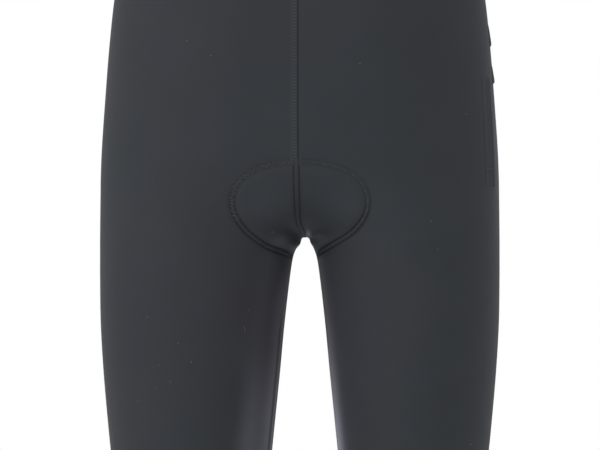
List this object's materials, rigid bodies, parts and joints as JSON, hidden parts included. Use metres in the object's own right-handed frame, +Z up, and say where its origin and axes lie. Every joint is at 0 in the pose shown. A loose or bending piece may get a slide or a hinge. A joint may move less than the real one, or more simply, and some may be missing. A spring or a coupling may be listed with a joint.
{
  "type": "cycling shorts",
  "caption": "Stretch cycling shorts in their worn, hollow shape, open at the waist and at both leg ends, with a seat pad inside.",
  "frame": {"origin": "middle of the waist, halfway between the highest point of the waist's back edge and the top of its front edge", "axes": "+Z up, -Y the way that the wearer faces, +X towards the wearer's left"},
  "size_m": [0.3512, 0.2304, 0.5388],
  "materials": {
    "cloth": "smooth matte stretch knit, charcoal",
    "band": "matte elastic knit, charcoal",
    "pad": "soft brushed knit over foam, dark grey",
    "patch": "smooth folded knit, charcoal"
  },
  "bodies": {
    "root": {"front_left": "cloth", "front_right": "cloth", "back_left": "cloth", "back_right": "cloth", "waistband": "band", "leg_band_left": "band", "leg_band_right": "band", "seat_pad": "pad", "side_patch": "patch", "side_tab_upper": "patch", "side_tab_lower": "patch"}
  },
  "joints": []
}
